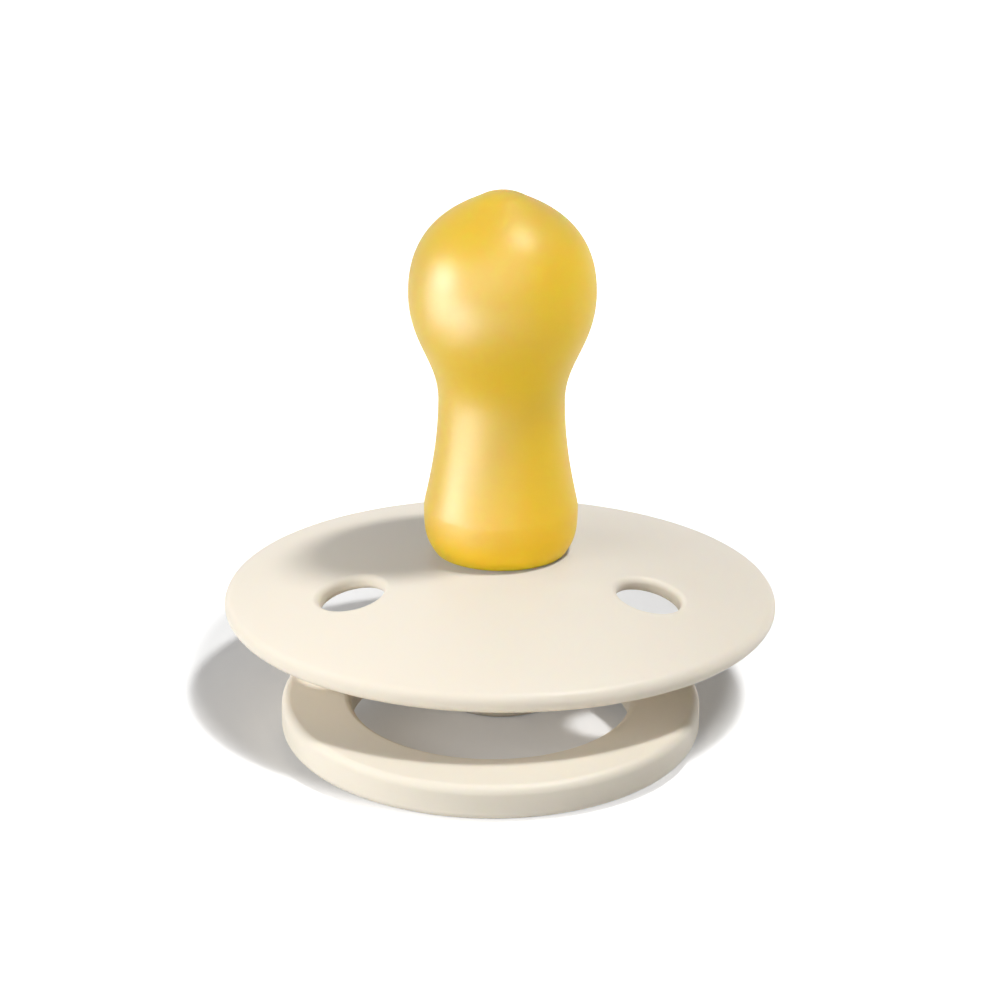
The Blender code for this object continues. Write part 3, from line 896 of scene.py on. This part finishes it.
class SOOTHER_OT_knob(bpy.types.Operator):
    """Build the rear knob with its slot, and the plug behind the nipple"""

    bl_idname = "soother.knob"
    bl_label = "Knob and plug"

    def execute(self, context):
        settings = context.scene.soother
        knob, shield, nipple, ring = settings.knob, settings.shield, settings.nipple, settings.ring
        disc_top = flange_top(shield) - nipple.flange_thickness - knob.fit_gap
        disc_bottom = disc_top - knob.disc_thickness
        spigot_top = disc_bottom - knob.fit_gap
        self.build_knob(knob, seat_height(shield) - shield.socket_depth - knob.fit_gap, spigot_top)
        self.build_plug(knob, shield, nipple, ring, disc_top, disc_bottom)
        return {"FINISHED"}

    def build_knob(self, knob, lip_top, spigot_top):
        """The mushroom-shaped knob, whose slot is open towards the plug."""
        quarter = math.pi / 2
        lip_bottom = lip_top - knob.lip_thickness
        lip_side = knob.lip_radius - knob.lip_edge
        outline = [(0, spigot_top), (knob.spigot_radius, spigot_top), (knob.spigot_radius, lip_top)]
        outline += arc((lip_side, lip_top - knob.lip_edge), knob.lip_edge, quarter, 0, 6)
        outline += arc((lip_side, lip_bottom + knob.lip_edge), knob.lip_edge, 0, -quarter, 6)
        outline += [(knob.radius, lip_bottom)]
        outline += arc((knob.radius - knob.edge, knob.edge), knob.edge, 0, -quarter, 8)
        outline += [(0, 0)]
        satin = satin_plastic("knob_satin", knob.tint)
        body = turned_mesh("knob_button", outline, knob.steps, satin)
        half = knob.slot_half_width
        above = spigot_top + half
        slot = arc((0, PIVOT.z), half, -math.pi, 0, 24) + [(half, above), (-half, above)]
        mesh = with_boolean("knob_button", body, "DIFFERENCE", slot, 2 * knob.lip_radius)
        add_piece("knob_button", mesh, "knob", "soother")

    def build_plug(self, knob, shield, nipple, ring, disc_top, disc_bottom):
        """The stopper in the nipple's foot, with the key that closes the knob's slot."""
        hollow = nipple_hollow(nipple, shield, nipple_skin(nipple, shield))
        head_top = shield.crown_height + knob.head_height
        stem = hollow[0][0] - knob.slide_gap
        side = [(r - knob.slide_gap, z) for r, z in hollow[1:] if z < head_top - knob.head_edge]
        widest = side[-1][0]
        edge = knob.head_edge
        outline = [(0, head_top)]
        outline += arc((widest - edge, head_top - edge), edge, math.pi / 2, 0, 8)
        outline += side[::-1] + [(stem, disc_top), (knob.spigot_radius, disc_top)]
        outline += [(knob.spigot_radius, disc_bottom), (0, disc_bottom)]
        satin = satin_plastic("plug_satin", knob.tint)
        body = turned_mesh("plug_stopper", outline, knob.steps, satin)
        half = ring.bar_radius
        low = PIVOT.z + knob.slot_half_width
        high = disc_bottom + knob.disc_thickness / 2
        key = [(-half, low), (half, low), (half, high), (-half, high)]
        key_half_length = math.sqrt(knob.radius**2 - knob.slot_half_width**2)
        mesh = with_boolean("plug_stopper", body, "UNION", key, key_half_length)
        add_piece("plug_stopper", mesh, "plug", "soother")


class SOOTHER_OT_ring(bpy.types.Operator):
    """Build the ring with the bar that turns in the knob"""

    bl_idname = "soother.ring"
    bl_label = "Ring"

    def execute(self, context):
        ring = context.scene.soother.ring
        stations = self.stations(ring)
        sizes = {
            "Bar Radius": ring.bar_radius,
            "Half Width": ring.half_width,
            "Half Height": ring.half_height,
            "Rounding": ring.rounding,
            "Sides": ring.sides,
            "Material": satin_plastic("ring_satin", ring.tint),
        }
        points = [(x, y, 0) for x, y, turn, share in stations]
        held = {
            "turn": [turn for x, y, turn, share in stations],
            "share": [share for x, y, turn, share in stations],
        }
        mesh = grow("ring_handle", points, ring_tree(), sizes, held)
        reach = ring.reach + ring.radius + ring.half_width - ring.rounding
        depth = ring.half_height - ring.rounding
        droop = math.asin((PIVOT.z - ring.floor_gap - ring.rounding) / math.hypot(reach, depth))
        tilt = Matrix.Rotation(droop - math.atan2(depth, reach), 4, "X")
        mesh.transform(Matrix.Translation((ring.shift, 0, PIVOT.z)) @ tilt)
        add_piece("ring_handle", mesh, "ring", "handle")
        return {"FINISHED"}

    def stations(self, ring):
        """Places (x, y, outward turn, band share) once round the ring, with the bar along y = 0."""
        corner = ring.corner
        spread = math.sqrt((ring.radius - corner) ** 2 - (ring.reach - corner) ** 2)
        quarter = math.pi / 2
        meet = math.atan2(ring.reach - corner, spread)
        band_start = spread + corner * (quarter - meet)
        bar_steps, corner_steps, band_steps = 20, 28, 96
        half = []
        for i in range(bar_steps):
            run = spread * i / bar_steps
            half.append((run, 0, quarter, run))
        for i in range(corner_steps):
            turn = quarter + (meet - quarter) * i / corner_steps
            x = spread + corner * math.cos(turn)
            y = corner * (math.sin(turn) - 1)
            half.append((x, y, turn, spread + corner * (quarter - turn)))
        for i in range(band_steps + 1):
            turn = meet - (quarter + meet) * i / band_steps
            x = ring.radius * math.cos(turn)
            y = ring.radius * math.sin(turn) - ring.reach
            half.append((x, y, turn, band_start))
        taper = band_start - ring.bar_half_length
        half = [(x, y, turn, max(run - ring.bar_half_length, 0) / taper) for x, y, turn, run in half]
        return half + [(-x, y, math.pi - turn, share) for x, y, turn, share in half[-2:0:-1]]


class SOOTHER_OT_stage(bpy.types.Operator):
    """Build the white floor, the lamps and the camera"""

    bl_idname = "soother.stage"
    bl_label = "Stage"

    def execute(self, context):
        stage = context.scene.soother.stage
        context.scene.view_settings.view_transform = "Standard"
        self.floor(stage)
        self.world(context.scene, stage)
        self.lights(stage)
        self.latex_lights(stage)
        self.camera(context.scene, stage)
        return {"FINISHED"}

    def floor(self, stage):
        """A large matt floor just under the knob's end."""
        half = stage.floor_size / 2
        corners = [(-half, -half, 0), (half, -half, 0), (half, half, 0), (-half, half, 0)]
        mesh = bpy.data.meshes.new("floor")
        mesh.from_pydata([(x, y, -0.02 * MM) for x, y, z in corners], [], [(0, 1, 2, 3)])
        mesh.materials.append(floor_material(stage))
        floor = bpy.data.objects.new("floor", mesh)
        bpy.context.scene.collection.objects.link(floor)

    def world(self, scene, stage):
        """A white surrounding that lights only softly."""
        world = bpy.data.worlds.new("studio")
        scene.world = world
        world.use_nodes = True
        world.node_tree.nodes.clear()
        graph = Graph(world.node_tree)
        strength = stage.ambient + seen_rays(graph) * (1 - stage.ambient)
        white = graph.add("ShaderNodeBackground", {}, {"Color": rgba((1, 1, 1)), "Strength": strength})
        graph.add("ShaderNodeOutputWorld", {}, {"Surface": white})

    def lights(self, stage):
        """The lamps that light all pieces. The low ones leave no glare on the plastic."""
        self.aimed("key", (0.335, -0.09, 1.0), 0.6, (0.085, 0.085), stage.key_power)
        self.aimed("back", (0.1, 0.8, 1.0), 0.8, (0.6, 0.6), stage.back_power)
        soft = [
            self.aimed("left", (-1.0, 0.0, 0.3), 0.6, (0.3, 0.3), stage.left_power),
            self.aimed("corner", (-0.8, -0.8, 0.35), 0.5, (0.3, 0.3), stage.corner_power),
            self.aimed("right", (1.0, -0.2, 0.4), 0.7, (0.4, 0.4), stage.right_power),
            self.flat("bounce", (0.15, -0.01), (0.2, 0.26), stage.bounce_power),
        ]
        for lamp in soft:
            lamp.visible_glossy = False

    def latex_lights(self, stage):
        """A soft lamp for the latex alone, and panels that show only in its gloss. It throws no amber light."""
        latex_only = bpy.data.collections.new("latex only")
        teat = bpy.data.objects["nipple_teat"]
        teat.visible_diffuse = False
        latex_only.objects.link(teat)
        fill = self.aimed("fill", (0.5, -1.0, 0.15), 0.5, (0.25, 0.12), stage.fill_power)
        fill.visible_glossy = False
        fill.light_linking.receiver_collection = latex_only
        panels = [
            self.aimed("key sheen", (0.335, -0.09, 1.0), 0.6, (0.2, 0.2), stage.key_sheen),
            self.aimed("left sheen", (-1.0, -0.2, 0.22), 0.6, (0.34, 0.28), stage.left_sheen),
            self.aimed("corner sheen", (-0.6, -0.8, 0.4), 0.6, (0.5, 0.4), stage.corner_sheen),
            self.aimed("front sheen", (0.0, -1.0, 0.75), 0.6, (0.8, 0.7), stage.front_sheen),
            self.flat("floor sheen", (-0.2, -0.06), (0.32, 0.16), stage.floor_sheen),
            self.flat("near sheen", (-0.085, -0.11), (0.16, 0.13), stage.near_sheen),
            self.flat("low sheen", (0.0, -0.125), (0.17, 0.13), stage.low_sheen),
        ]
        for panel in panels:
            panel.visible_diffuse = False
            panel.light_linking.receiver_collection = latex_only

    def aimed(self, name, direction, distance, size, watts):
        """A lamp that looks at the shield from a direction."""
        towards = Vector(direction).normalized()
        lamp = self.lamp(name, size, watts)
        lamp.location = Vector((0, 0, 15 * MM)) + towards * distance
        lamp.rotation_euler = towards.to_track_quat("Z", "Y").to_euler()
        return lamp

    def flat(self, name, spot, size, watts):
        """A lamp that lies on the floor and looks up."""
        lamp = self.lamp(name, size, watts)
        lamp.location = (*spot, 0.2 * MM)
        lamp.rotation_euler = (math.pi, 0, 0)
        return lamp

    def lamp(self, name, size, watts):
        """An oval area lamp of this width and depth that the camera doesn't see."""
        data = bpy.data.lights.new(name, "AREA")
        data.shape = "ELLIPSE"
        data.size = size[0]
        data.size_y = size[1]
        data.energy = watts
        lamp = bpy.data.objects.new(name, data)
        lamp.visible_camera = False
        bpy.context.scene.collection.objects.link(lamp)
        return lamp

    def camera(self, scene, stage):
        """A long lens at the photograph's angle."""
        data = bpy.data.cameras.new("camera")
        data.lens = stage.camera_lens
        data.sensor_width = 36
        camera = bpy.data.objects.new("camera", data)
        rise = stage.camera_elevation
        back = Vector((0, -math.cos(rise), math.sin(rise)))
        target = Vector((stage.target_side, 0, stage.target_height))
        look = back.to_track_quat("Z", "Y").to_matrix().to_4x4()
        roll = Matrix.Rotation(stage.camera_roll, 4, "Z")
        camera.matrix_world = Matrix.Translation(target + back * stage.camera_distance) @ look @ roll
        scene.collection.objects.link(camera)
        scene.camera = camera


class SOOTHER_PT_panel(bpy.types.Panel):
    """Lists the pieces of the soother"""

    bl_idname = "SOOTHER_PT_panel"
    bl_label = "Soother"
    bl_space_type = "VIEW_3D"
    bl_region_type = "UI"
    bl_category = "Soother"

    def draw(self, context):
        for operator in OPERATORS:
            self.layout.operator(operator.bl_idname)


OPERATORS = (SOOTHER_OT_shield, SOOTHER_OT_nipple, SOOTHER_OT_knob, SOOTHER_OT_ring, SOOTHER_OT_stage)
CLASSES = (
    ShieldSettings,
    NippleSettings,
    KnobSettings,
    RingSettings,
    StageSettings,
    SootherSettings,
    *OPERATORS,
    SOOTHER_PT_panel,
)


def register():
    """Registers the classes and the scene's settings."""
    for item in CLASSES:
        bpy.utils.register_class(item)
    bpy.types.Scene.soother = bpy.props.PointerProperty(type=SootherSettings)


def unregister():
    """Removes the scene's settings and the classes."""
    del bpy.types.Scene.soother
    for item in reversed(CLASSES):
        bpy.utils.unregister_class(item)


def main():
    """Builds every piece and the stage."""
    register()
    bpy.ops.soother.shield()
    bpy.ops.soother.nipple()
    bpy.ops.soother.knob()
    bpy.ops.soother.ring()
    bpy.ops.soother.stage()


if __name__ == "__main__":
    main()
